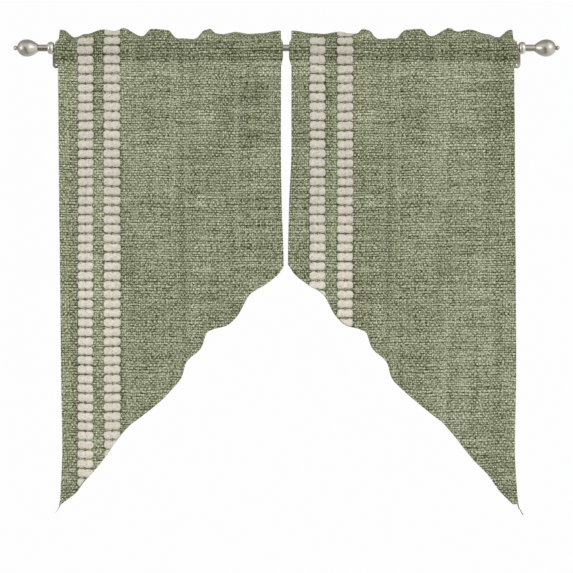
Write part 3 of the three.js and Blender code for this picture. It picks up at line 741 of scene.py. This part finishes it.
def nickel_material(name="nickel_brushed", along=True):
    """Satin nickel: very fine brushing, faint clouding and a little wear."""
    g = Graph(name)
    tex = g.node("ShaderNodeTexCoord")
    p = Sock(g, tex.outputs["Object"])
    x, y, z = g.split(p)
    brush = g.noise(g.xyz(x * (60 if along else 1400), y * 1400, z * 1400), 1.0, 3, 0.6)
    cloud = g.noise(p, 38.0, 3, 0.55)
    smudge = g.noise(p, 150.0, 4, 0.65)
    tone = 0.5 + (cloud - 0.5) * 0.5 + (brush - 0.5) * 0.25 + (smudge - 0.5) * 0.18
    # painted shade: a wall plate is darker, its round edge most of all
    painted_light_factor = 1 - g.ease(y * 1000, -9.0, -5.0) * 0.32 - g.ease(y * 1000, -4.06, -3.75) * 0.24
    # painted highlight: the ring round the rod is brighter
    ring = (1 - g.ease(g.math("ABSOLUTE", g.math("ABSOLUTE", x * 1000) - BRACKET_X), 7.3, 7.7)) * (1 - g.ease(y * 1000, -66.0, -64.0))
    painted_light_factor = painted_light_factor + ring * 0.26
    # the tube is painted darker along its underside, where the photo has it mirror something dark
    tube = (1 - g.ease(g.math("ABSOLUTE", x * 1000), ROD_HALF - 0.2, ROD_HALF + 0.1)) * g.ease(g.math("ABSOLUTE", g.math("ABSOLUTE", x * 1000) - BRACKET_X), 7.3, 7.7) * (1 - g.ease(y * 1000, -72.6, -71.8))
    low = z * -1000
    painted_light_factor = painted_light_factor - tube * g.ease(low, 0.2, 2.8) * (1 - g.ease(low, 4.6, 8.0) * 0.35) * 0.40
    g.set(
        Base_Color=g.mix(1.0, g.xyz(painted_light_factor, painted_light_factor, painted_light_factor), g.ramp(tone, [(0.25, srgb(184, 178, 168)), (0.55, srgb(206, 202, 193)), (0.85, srgb(220, 217, 209))]), "MULTIPLY"),
        Roughness=g.maximum(0.18, 0.25 + (brush - 0.5) * 0.14 + (smudge - 0.5) * 0.12),
    )
    g.bsdf.inputs["Metallic"].default_value = 1.0
    g.put(g.bsdf.inputs["Normal"], g.bump(brush * 0.6 + smudge * 0.5, 0.00012, 0.35))
    return g.material


BURLAP, YARN, THREAD = burlap_material(), yarn_material(), thread_material()
NICKEL = nickel_material()


def finish_piece(ob, material):
    ob.data.materials.clear()
    ob.data.materials.append(material)
    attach(ob, "root")
    return ob


# ---------------------------------------------------------------------------
# cloth
# ---------------------------------------------------------------------------
class Surface:
    """The room face of a panel, for what is sewn or woven on it: points by share across and height."""

    def __init__(self, panel, sheets):
        self.panel, self.sheets = panel, sheets
        room, _, _, normal = layer(sheets, panel, "front_all")
        r_room, _, _, r_normal = layer(sheets, panel, "ruffle")
        self.points = np.concatenate([room[:, :-1], r_room], 1)
        self.normals = np.concatenate([normal[:, :-1], r_normal], 1)
        self.shares = sheets["shares"]
        self.height = np.maximum.accumulate(self.points[..., 2], 1)

    def at(self, share, z):
        """Points and normals at shares across and heights, both arrays of one shape."""
        share, z = np.broadcast_arrays(share, z)
        k = np.clip(np.searchsorted(self.shares, share) - 1, 0, len(self.shares) - 2)
        t = np.clip((share - self.shares[k]) / (self.shares[k + 1] - self.shares[k]), 0, 1)
        out_p = np.zeros(share.shape + (3,))
        out_n = np.zeros(share.shape + (3,))
        flat_k, flat_t, flat_z = k.ravel(), t.ravel(), z.ravel()
        P, N = out_p.reshape(-1, 3), out_n.reshape(-1, 3)
        for column in np.unique(flat_k):
            m = flat_k == column
            for c, w in ((column, 1 - flat_t[m]), (column + 1, flat_t[m])):
                for axis in range(3):
                    P[m, axis] += w * np.interp(flat_z[m], self.height[c], self.points[c, :, axis])
                    N[m, axis] += w * np.interp(flat_z[m], self.height[c], self.normals[c, :, axis])
        out_n /= np.maximum(np.linalg.norm(out_n, axis=-1, keepdims=True), 1e-9)
        return out_p, out_n

    def hem(self, share):
        return np.interp(share, self.shares, self.height[:, 0])

    def rim(self, share):
        return np.interp(share, self.shares, self.height[:, -1])


def rung_tall(a, half_w, half_h):
    """Half height of a rung at a along it, in mm: round ends, two full lobes and a pinched middle."""
    end = np.clip(np.abs(a) / half_w, 0, 1)
    pinch = np.exp(-((a / (half_w * 0.115)) ** 2))
    lobes = 0.975 + 0.025 * np.cos(2 * np.pi * (end - 0.5))
    return half_h * np.clip(1 - end**5.4, 0, 1) ** (1 / 2.6) * (1 - 0.23 * pinch) * lobes


def rung_dome(a, b, half_w, tall):
    """How far a rung stands off the cloth: a puffy roll with a soft crease down its middle."""
    end = np.clip(np.abs(a) / half_w, 0, 1)
    y = np.clip(np.abs(b) / np.maximum(tall, 0.01), 0, 1)
    pinch = np.exp(-((a / (half_w * 0.10)) ** 2))
    return 4.3 * np.sqrt(np.clip(1 - y**3.0, 0, 1)) * np.clip(1 - end**8, 0, 1) ** 0.5 * (1 - 0.20 * pinch)


def build_ladders(name, panel, surface):
    """All rungs of a panel as one mesh: each is a closed puff on the cloth, cut where the hem or the top cuts it."""
    rng = np.random.default_rng(panel["seed"] + 40)
    vertices, faces, coords, light = [], [], [], []
    across, over = 29, 13
    number = 0
    for ladder in panel["ladders"]:
        for k in range(60):
            number += 1
            z = LADDER_TOP - k * LADDER_PITCH + rng.normal(0, 0.22)
            half_w = ladder["width"] / 2 * (1 + rng.normal(0, 0.010))
            half_h = LADDER_TALL / 2 * (1 + rng.normal(0, 0.018))
            a = np.linspace(-1, 1, across)
            a = np.sign(a) * (1 - (1 - np.abs(a)) ** 1.5) * half_w * 0.998
            shift, tilt = rng.normal(0, 0.3), rng.normal(0, 0.006)
            out = ladder["centre"] + shift + panel["side"] * a
            share = share_at(panel, out, np.full_like(out, z))
            middle = z + tilt * a
            tall = rung_tall(a, half_w, half_h)
            wobble = [0.22 * np.sin(a / rng.uniform(1.6, 3.2) + rng.uniform(0, 6)) for _ in (0, 1)]
            low = np.maximum(-tall - wobble[0] * np.clip(tall / 4, 0, 1), surface.hem(share) + 0.6 - middle)
            high = np.minimum(tall + wobble[1] * np.clip(tall / 4, 0, 1), surface.rim(share) - 0.25 - middle)
            if k < 3 and np.mean(high - low) < 0.5 * np.mean(2 * tall):
                continue  # the next rung above would only just show
            use = high - low > 0.25
            if (high - low > 1.2).sum() < 5:
                continue
            first, last = np.argmax(use), across - 1 - np.argmax(use[::-1])
            c = np.arange(first, last + 1)
            s = np.linspace(-1, 1, over)
            s = np.sign(s) * (1 - (1 - np.abs(s)) ** 1.6)
            A = a[c][:, None] + 0 * s
            B = ((low + high) / 2)[c][:, None] + np.maximum(high - low, 0.1)[c][:, None] / 2 * s[None, :]
            h = rung_dome(A, B, half_w, (tall + 0.22)[c][:, None])
            lump = np.sin(A / 2.7 + rng.uniform(0, 6)) * np.sin(B / 3.3 + rng.uniform(0, 6)) + 0.8 * np.sin(B * 1.5 + 0.22 * A + rng.uniform(0, 6))
            h = np.maximum(h + np.clip(h / 3, 0, 1) * 0.26 * lump, 0.05)
            Z = middle[c][:, None] + B
            p, n = surface.at(share_at(panel, out[c][:, None] + 0 * B, Z), Z)
            # a stiff roll stands forward of a ruffle that leans back
            n = n * np.array([1.0, 1.0, 0.15])
            n /= np.linalg.norm(n, axis=-1, keepdims=True)
            top, under = p + n * h[..., None], p - n * 0.35
            m, q = top.shape[:2]
            base = len(vertices)
            vertices.extend((np.concatenate([top.reshape(-1, 3), under.reshape(-1, 3)]) * MM).tolist())
            uv = np.stack([A, B, np.full_like(B, number)], -1).reshape(-1, 3)
            coords.extend(np.concatenate([uv, uv]).tolist())
            light.extend([ladder["pale"] * float(through(YARN_LIGHT[:, 0], YARN_LIGHT[:, 1], -z)) * (1 + rng.normal(0, 0.006))] * (2 * len(uv)))
            T = base + np.arange(m * q).reshape(m, q)
            L = T + m * q
            quads = np.stack([T[:-1, :-1], T[:-1, 1:], T[1:, 1:], T[1:, :-1]], -1).reshape(-1, 4).tolist()
            quads += np.stack([L[:-1, :-1], L[1:, :-1], L[1:, 1:], L[:-1, 1:]], -1).reshape(-1, 4).tolist()
            rim = [r[::-1] for r in zip(T[0, :-1], T[0, 1:], L[0, 1:], L[0, :-1])]
            rim += list(zip(T[-1, :-1], T[-1, 1:], L[-1, 1:], L[-1, :-1]))
            rim += list(zip(T[:-1, 0], T[1:, 0], L[1:, 0], L[:-1, 0]))
            rim += [r[::-1] for r in zip(T[:-1, -1], T[1:, -1], L[1:, -1], L[:-1, -1])]
            faces.extend(quads + [[int(x) for x in r] for r in rim])
    ob = new_object(name, vertices, faces)
    attribute = ob.data.attributes.new("rung", "FLOAT_VECTOR", "POINT")
    attribute.data.foreach_set("vector", np.array(coords, np.float32).ravel())
    attribute = ob.data.attributes.new("light", "FLOAT", "POINT")
    attribute.data.foreach_set("value", np.array(light, np.float32))
    outward(ob)
    return ob


def tube_mesh(paths, radius, sides=6, flat=1.0):
    """Closed little tubes along short paths (arrays of points in mm, with normals), joined."""
    vertices, faces = [], []
    for points, normals in paths:
        points = np.asarray(points)
        tangents = np.gradient(points, axis=0)
        tangents /= np.maximum(np.linalg.norm(tangents, axis=-1, keepdims=True), 1e-9)
        binormal = np.cross(tangents, normals)
        binormal /= np.maximum(np.linalg.norm(binormal, axis=-1, keepdims=True), 1e-9)
        normal = np.cross(binormal, tangents)
        angle = np.arange(sides) * 2 * math.pi / sides
        base = len(vertices)
        count = len(points)
        for i in range(count):
            r = radius * (0.55 if i in (0, count - 1) else 1.0)
            ring = points[i] + r * (np.cos(angle)[:, None] * binormal[i] + flat * np.sin(angle)[:, None] * normal[i])
            vertices.extend((ring * MM).tolist())
        for i in range(count - 1):
            for j in range(sides):
                n = (j + 1) % sides
                faces.append([base + i * sides + j, base + i * sides + n, base + (i + 1) * sides + n, base + (i + 1) * sides + j])
        faces.append([base + j for j in range(sides)][::-1])
        faces.append([base + (count - 1) * sides + j for j in range(sides)])
    return vertices, faces


def build_stitching(name, panel, surface):
    """Rows of short stitches: two along the pocket, one up each side hem, one along the slanting hem."""
    paths = []

    def run(shares, heights, pitch=5.2, stitch=3.1, lift=0.10):
        p, _ = surface.at(shares, heights)
        length = np.concatenate([[0], np.cumsum(np.linalg.norm(np.diff(p, axis=0), axis=-1))])
        for start in np.arange(2.0, length[-1] - 4, pitch):
            s = np.linspace(start, start + stitch, 4)
            q, n = surface.at(np.interp(s, length, shares), np.interp(s, length, heights))
            paths.append((q + n * np.array([-0.2, lift, lift, -0.2])[:, None], n))

    many = np.linspace(0.004, 0.994, 500)
    run(many, np.full_like(many, SEAM_HIGH + 0.2))
    run(many, np.full_like(many, SEAM_LOW - 0.2))
    width = float(out_at(panel, 1.0, 515.0) - out_at(panel, 0.0, 515.0))
    inset = (SIDE_BAND - 2.2) / width
    low = many[(many > inset) & (many < 1 - inset * 1.6)]
    run(low, surface.hem(low) + HEM_BAND * 1.32 - 3.2)
    for share in (inset, 1 - inset):
        heights = np.linspace(SEAM_LOW - 3, float(surface.hem(share)) + 26, 400)
        run(np.full_like(heights, share), heights)
    vertices, faces = tube_mesh(paths, 0.36, sides=5, flat=0.6)
    return new_object(name, vertices, faces)


def build_ties(name, panel, surface):
    """The fine warp threads that bind the rungs, down the middle of each ladder."""
    paths = []
    for ladder in panel["ladders"]:
        for offset in (-0.9, 0.9):
            z = np.arange(38.0, -1100.0, -3.0)
            cross = offset * np.cos(np.pi * (z - LADDER_TOP) / LADDER_PITCH)
            share = share_at(panel, ladder["centre"] + cross, z)
            keep = (z > surface.hem(share) + 2) & (z < surface.rim(share) - 2)
            p, n = surface.at(share[keep], z[keep])
            paths.append((p + n * 0.6, n))
    vertices, faces = tube_mesh(paths, 0.62, sides=6, flat=0.8)
    return new_object(name, vertices, faces)


pieces = {}
for node, panel in PANELS.items():
    short = node.split("_")[1]
    cloth, sheets = build_panel("cloth_" + short, panel)
    surface = Surface(panel, sheets)
    finish_piece(cloth, BURLAP)
    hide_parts(node)
    ladders = finish_piece(build_ladders("ladders_" + short, panel, surface), YARN)
    stitches = finish_piece(build_stitching("stitching_" + short, panel, surface), THREAD)
    ties = finish_piece(build_ties("ties_" + short, panel, surface), THREAD)
    pieces[short] = (cloth, sheets, [ladders, stitches, ties])

# ---------------------------------------------------------------------------
# metal
# ---------------------------------------------------------------------------
def lathe(name, profile, segments=96, closed=False):
    """Profile rows (along, radius) turned round X, as one closed mesh."""
    angle = np.arange(segments) * 2 * math.pi / segments
    vertices, rings = [], []
    for along, radius in profile:
        if radius < 1e-6:
            rings.append([len(vertices)] * segments)
            vertices.append((along * MM, 0, 0))
        else:
            rings.append(list(range(len(vertices), len(vertices) + segments)))
            vertices.extend((along * MM, radius * MM * math.cos(a), radius * MM * math.sin(a)) for a in angle)
    faces = []
    pairs = list(zip(rings[:-1], rings[1:])) + ([(rings[-1], rings[0])] if closed else [])
    for r, s in pairs:
        for j in range(segments):
            n = (j + 1) % segments
            corners = [r[j], r[n], s[n], s[j]]
            corners = [c for k, c in enumerate(corners) if c not in corners[:k]]
            if len(corners) > 2:
                faces.append(corners[::-1])
    ob = new_object(name, vertices, faces)
    outward(ob)
    return ob


def smooth_profile(rows, count):
    """A rounded line through profile rows, by length along them."""
    rows = np.array(rows, float)
    d = np.concatenate([[0], np.cumsum(np.linalg.norm(np.diff(rows, axis=0), axis=1))])
    s = np.linspace(0, d[-1], count)
    # Catmull-Rom through the rows
    ext = np.vstack([2 * rows[0] - rows[1], rows, 2 * rows[-1] - rows[-2]])
    k = np.clip(np.searchsorted(d, s) - 1, 0, len(rows) - 2)
    t = ((s - d[k]) / (d[k + 1] - d[k]))[:, None]
    p0, p1, p2, p3 = ext[k], ext[k + 1], ext[k + 2], ext[k + 3]
    return 0.5 * (2 * p1 + (p2 - p0) * t + (2 * p0 - 5 * p1 + 4 * p2 - p3) * t**2 + (3 * p1 - p0 - 3 * p2 + p3) * t**3)


def sharpen(ob, degrees):
    """Smooth shading with real edges kept."""
    ob.data.shade_smooth()
    bm = bmesh.new()
    bm.from_mesh(ob.data)
    limit = math.radians(degrees)
    for e in bm.edges:
        e.smooth = not (len(e.link_faces) == 2 and e.calc_face_angle(0) > limit)
    bm.to_mesh(ob.data)
    bm.free()


def joined(name, base, others, op):
    for k, other in enumerate(others):
        modifier = base.modifiers.new(f"{op}{k}", "BOOLEAN")
        modifier.operation, modifier.object, modifier.solver = op, other, "EXACT"
        bpy.context.view_layer.update()
        mesh = bpy.data.meshes.new_from_object(base.evaluated_get(bpy.context.evaluated_depsgraph_get()))
        base.modifiers.clear()
        base.data = mesh
        bpy.data.objects.remove(other)
    base.name = name
    return base


# rod: a tube with slightly rounded ends
rod = lathe("rod_tube", [
    (-ROD_HALF, 7.2), (-ROD_HALF, 7.7), (-ROD_HALF + 0.3, 8.0),
    *[(x, 8.0) for x in np.linspace(-ROD_HALF + 20, ROD_HALF - 20, 41)],
    (ROD_HALF - 0.3, 8.0), (ROD_HALF, 7.7), (ROD_HALF, 7.2),
    *[(x, 7.2) for x in np.linspace(ROD_HALF - 20, -ROD_HALF + 20, 5)],
], 72, closed=True)
rod.data.transform(Matrix.Translation((0, -ROD_OUT * MM, 0)))
sharpen(rod, 40)
finish_piece(rod, NICKEL)
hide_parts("rod")

BALL = [
    (0, 7.9), (0.6, 8.7), (2.4, 10.3), (5.2, 12.3), (8, 14.2), (11, 16), (14, 17.45), (17, 18.6), (20, 19.4), (23, 19.9),
    (26, 20.1), (29, 20), (32, 19.6), (35, 18.9), (38, 17.75), (41, 16), (44, 13.3), (46.4, 10.3), (48.1, 7.2), (49.2, 5.1),
]
KNOB = [(53.4 + 5.6 * math.sin(a) * 0.86, 5.6 * math.cos(a)) for a in np.linspace(-0.74, math.pi / 2, 15)]
KNOB[-1] = (KNOB[-1][0], 0.0)
for name, side in (("right", 1), ("left", -1)):
    profile = [(-22, 0), (-22, 5.9), (-20.8, 6.7), (0, 6.7)]
    profile += [tuple(p) for p in smooth_profile(BALL, 60)]
    profile += [(49.6, 4.55), (50.1, 3.95), (50.6, 3.8)] + KNOB[1:]
    finial = lathe("finial_ball_" + name, profile, 112)
    if side < 0:
        finial.data.transform(Matrix.Rotation(math.pi, 4, "Z"))
    finial.data.transform(Matrix.Translation((side * (ROD_HALF + 0.3) * MM, -ROD_OUT * MM, 0)))
    finial.data.update()
    sharpen(finial, 42)
    finish_piece(finial, NICKEL)
    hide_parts("finial_" + name)

PLATE = dict(width=18.0, top=21.0, bottom=-36.0, thick=4.1)


def plate_mesh(name):
    """Narrow wall plate with round ends and a softly rounded front edge."""
    r = PLATE["width"] / 2
    outline = [(r * math.cos(a), PLATE["top"] - r + r * math.sin(a)) for a in np.linspace(0, math.pi, 25)]
    outline += [(r * math.cos(a), PLATE["bottom"] + r + r * math.sin(a)) for a in np.linspace(math.pi, 2 * math.pi, 25)]
    outline = np.array(outline)
    centre = np.clip(outline[:, 1], PLATE["bottom"] + r, PLATE["top"] - r)
    inward = np.stack([-outline[:, 0], centre - outline[:, 1]], 1) / r
    layers = [(0.0, 0.0), (0.0, -2.9), (0.25, -3.5), (0.7, -3.95), (1.4, -PLATE["thick"])]
    rings = [np.stack([(outline + inward * inset)[:, 0], np.full(len(outline), y), (outline + inward * inset)[:, 1]], 1) for inset, y in layers]
    n = len(outline)
    vertices = (np.concatenate(rings) * MM).tolist()
    faces = [[k * n + j, k * n + (j + 1) % n, (k + 1) * n + (j + 1) % n, (k + 1) * n + j] for k in range(len(layers) - 1) for j in range(n)]
    faces += [list(range(n)), list(range((len(layers) - 1) * n, len(layers) * n))[::-1]]
    ob = new_object(name, vertices, faces)
    outward(ob)
    return ob


COLLAR_HALF = [(7.5, 8.35), (7.5, 10.2), (7.35, 10.9), (7, 11.6), (6.3, 12.5), (5.2, 13.25), (4.2, 13.8), (3, 14.3), (1.6, 14.62), (0.5, 14.72)]
COLLAR = [(-a, r) for a, r in COLLAR_HALF] + COLLAR_HALF[::-1]
for name, side in (("left", -1), ("right", 1)):
    collar = lathe("collar", COLLAR, 72, closed=True)
    collar.data.transform(Matrix.Translation((0, -ROD_OUT * MM, 0)))
    arm_profile = [(10.7, 0), (10.7, 5.0), *[(x, 5.0) for x in np.linspace(12, 68, 10)], (71, 5.25), (73.5, 6.0), (75.4, 7.2), (76.6, 8.2), (78.4, 8.2), (78.4, 0)]
    arm = lathe("arm", arm_profile, 48)
    arm.data.transform(Matrix.Rotation(math.pi / 2, 4, "Z"))
    arm.data.transform(Matrix.Translation((0, -ROD_OUT * MM, 0)))
    bracket = joined("bracket_" + name + "_metal", collar, [arm, plate_mesh("plate")], "UNION")
    holes = []
    for height in (13.4, -28.0):
        hole = lathe("hole", [(-10, 0), (-10, 2.25), (10, 2.25), (10, 0)], 32)
        hole.data.transform(Matrix.Rotation(math.pi / 2, 4, "Z"))
        hole.data.transform(Matrix.Translation((0, 0, height * MM)))
        holes.append(hole)
    bracket = joined("bracket_" + name + "_metal", bracket, holes, "DIFFERENCE")
    bracket.data.transform(Matrix.Translation((side * BRACKET_X * MM, 0, 0)))
    sharpen(bracket, 35)
    finish_piece(bracket, NICKEL)
    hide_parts("bracket_" + name)

# ---------------------------------------------------------------------------
# what the cloth was cut to
# ---------------------------------------------------------------------------
for short, (cloth, sheets, on_it) in pieces.items():
    width = sheets["u"][-1] * MM
    pocket = float(np.sum(np.linalg.norm(np.diff(PATH, axis=0), axis=-1))) * MM
    head = (HEAD_TOP - SEAM_HIGH) * MM
    drop = (float(sheets["bottom"].max()) + SEAM_LOW) * MM
    short_drop = (float(sheets["bottom"].min()) + SEAM_LOW) * MM
    area = width * (2 * pocket + 2 * head + (drop + short_drop) / 2)

# ---------------------------------------------------------------------------
# floor, light, camera
# ---------------------------------------------------------------------------
scene = bpy.context.scene
scene.view_settings.view_transform = "Standard"

floor = new_object("floor", [(-8, -9, 0), (8, -9, 0), (8, 3.2, 0), (-8, 3.2, 0)], [[0, 1, 2, 3]], smooth=False)
floor.location = (0, 0, -2.05)
g = Graph("floor_pale")
tex = g.node("ShaderNodeTexCoord")
soft = g.noise(Sock(g, tex.outputs["Object"]), 1.4, 3)
g.set(Base_Color=g.ramp(soft, [(0.3, (0.78, 0.775, 0.765)), (0.7, (0.84, 0.838, 0.83))]), Roughness=0.8)
floor.data.materials.append(g.material)
floor.visible_glossy = False

# The room round the object: it is white to the camera, and in reflections it has a white
# wall behind, a paler ceiling and floor, and a dark brownish patch in front, below the eye.
world = bpy.data.worlds.new("studio")
scene.world = world
world.use_nodes = True


class WorldGraph(Graph):
    def __init__(self, tree):
        self.tree = tree
        self.tree.nodes.clear()


w = WorldGraph(world.node_tree)
toward = w.node("ShaderNodeTexCoord")
dx, dy, dz = w.split(Sock(w, toward.outputs["Generated"]))
front = w.ramp((dz + 1) * 0.5, [
    (0.0, (0.52, 0.51, 0.49)), (0.3, (0.62, 0.61, 0.585)), (0.46, (0.78, 0.765, 0.74)), (0.54, (0.82, 0.81, 0.79)),
    (0.78, (0.82, 0.82, 0.81)), (0.92, (0.50, 0.50, 0.50)), (1.0, (0.40, 0.40, 0.41)),
])
rear = w.ramp((dz + 1) * 0.5, [
    (0.0, (0.52, 0.51, 0.49)), (0.3, (0.58, 0.57, 0.56)), (0.5, (0.66, 0.66, 0.66)), (0.7, (0.46, 0.46, 0.46)), (1.0, (0.38, 0.38, 0.39)),
])
room = w.mix(w.ease(dy, -0.25, 0.25), front, rear)
# lower down it is brighter to the right
below = w.ease(w.math("MULTIPLY", dz, -1.0), 0.0, 0.5)
side = w.ease(dx, -0.7, 0.7)
gain = 1 + below * (side - 0.15) * 0.7
room = w.mix(1.0, room, w.xyz(gain, gain, gain), "MULTIPLY")
lean = dx + 0.30 + w.math("MINIMUM", dz, 0.0) * 0.30
patch = (1 - w.ease(w.math("ABSOLUTE", lean), 0.03, 0.38)) * (1 - w.ease(dy, -0.10, 0.25)) * (1 - w.ease(dz, -0.12, 0.34)) * (1 - (1 - w.ease(dz, -0.95, -0.5)) * 0.3)
room = w.mix(patch * 0.92, room, (0.165, 0.140, 0.118))
# the lamps as they are mirrored in metal, with soft edges
# columns: compass angle from the front to the right, height, half width of the bright part, half width in all, brightness
path = w.node("ShaderNodeLightPath")
mirrored = Sock(w, path.outputs["Is Glossy Ray"])
for compass, up, bright, whole, level in ((40, 40, 2, 24, 1.15), (74, 8, 2, 16, 0.95), (37, 9, 4, 25, 2.1), (-55, -4, 3, 22, 2.1)):
    compass, up = math.radians(compass), math.radians(up)
    near = dx * (math.sin(compass) * math.cos(up)) - dy * (math.cos(compass) * math.cos(up)) + dz * math.sin(up)
    lamp = w.ease(near, math.cos(math.radians(whole)), math.cos(math.radians(bright))) * mirrored
    room = w.mix(lamp, room, (level, level * 0.99, level * 0.975))
seen = w.node("ShaderNodeBackground")
seen.inputs[0].default_value = (1.0, 1.0, 1.0, 1)
seen.inputs[1].default_value = 0.985
lit = w.node("ShaderNodeBackground")
w.put(lit.inputs[0], room)
lit.inputs[1].default_value = 1.0
either = w.node("ShaderNodeMixShader")
w.tree.links.new(path.outputs["Is Camera Ray"], either.inputs[0])
w.tree.links.new(lit.outputs[0], either.inputs[1])
w.tree.links.new(seen.outputs[0], either.inputs[2])
w_out = w.node("ShaderNodeOutputWorld")
w.tree.links.new(either.outputs[0], w_out.inputs[0])


def area_light(name, at, look, size, power, colour=(1, 1, 1)):
    data = bpy.data.lights.new(name, "AREA")
    data.shape, data.size, data.size_y = "RECTANGLE", *size
    data.energy, data.color = power, colour
    ob = bpy.data.objects.new(name, data)
    ob.location = at
    ob.rotation_euler = (Vector(look) - Vector(at)).to_track_quat("-Z", "Y").to_euler()
    scene.collection.objects.link(ob)
    return ob


lamps = [area_light("right", (3.2, -3.5, 1.55), (0, -0.08, 0), (3.2, 3.2), 95, (1.0, 0.995, 0.985)), area_light("left", (-4.2, -2.5, 0.75), (0, -0.08, 0), (2.8, 2.8), 62, (0.985, 0.99, 1.0))]
for lamp in lamps:
    lamp.visible_glossy = False  # metal mirrors them from the room above
area_light("rear", (0.6, 4.6, 1.6), (0, -0.08, -0.3), (3.4, 3.4), 90, (1.0, 1.0, 1.0)).visible_glossy = False

camera_data = bpy.data.cameras.new("camera")
camera = bpy.data.objects.new("camera", camera_data)
scene.collection.objects.link(camera)
camera_data.sensor_width = 36
DISTANCE = 3.41
FRAME_WIDTH = 1.3506
camera_data.lens = 18 / (FRAME_WIDTH / 2 / DISTANCE)
camera.location = (0, -ROD_OUT * MM - DISTANCE, -0.5622)
camera.rotation_euler = (math.radians(90), 0, 0)
camera_data.clip_end = 60
scene.camera = camera
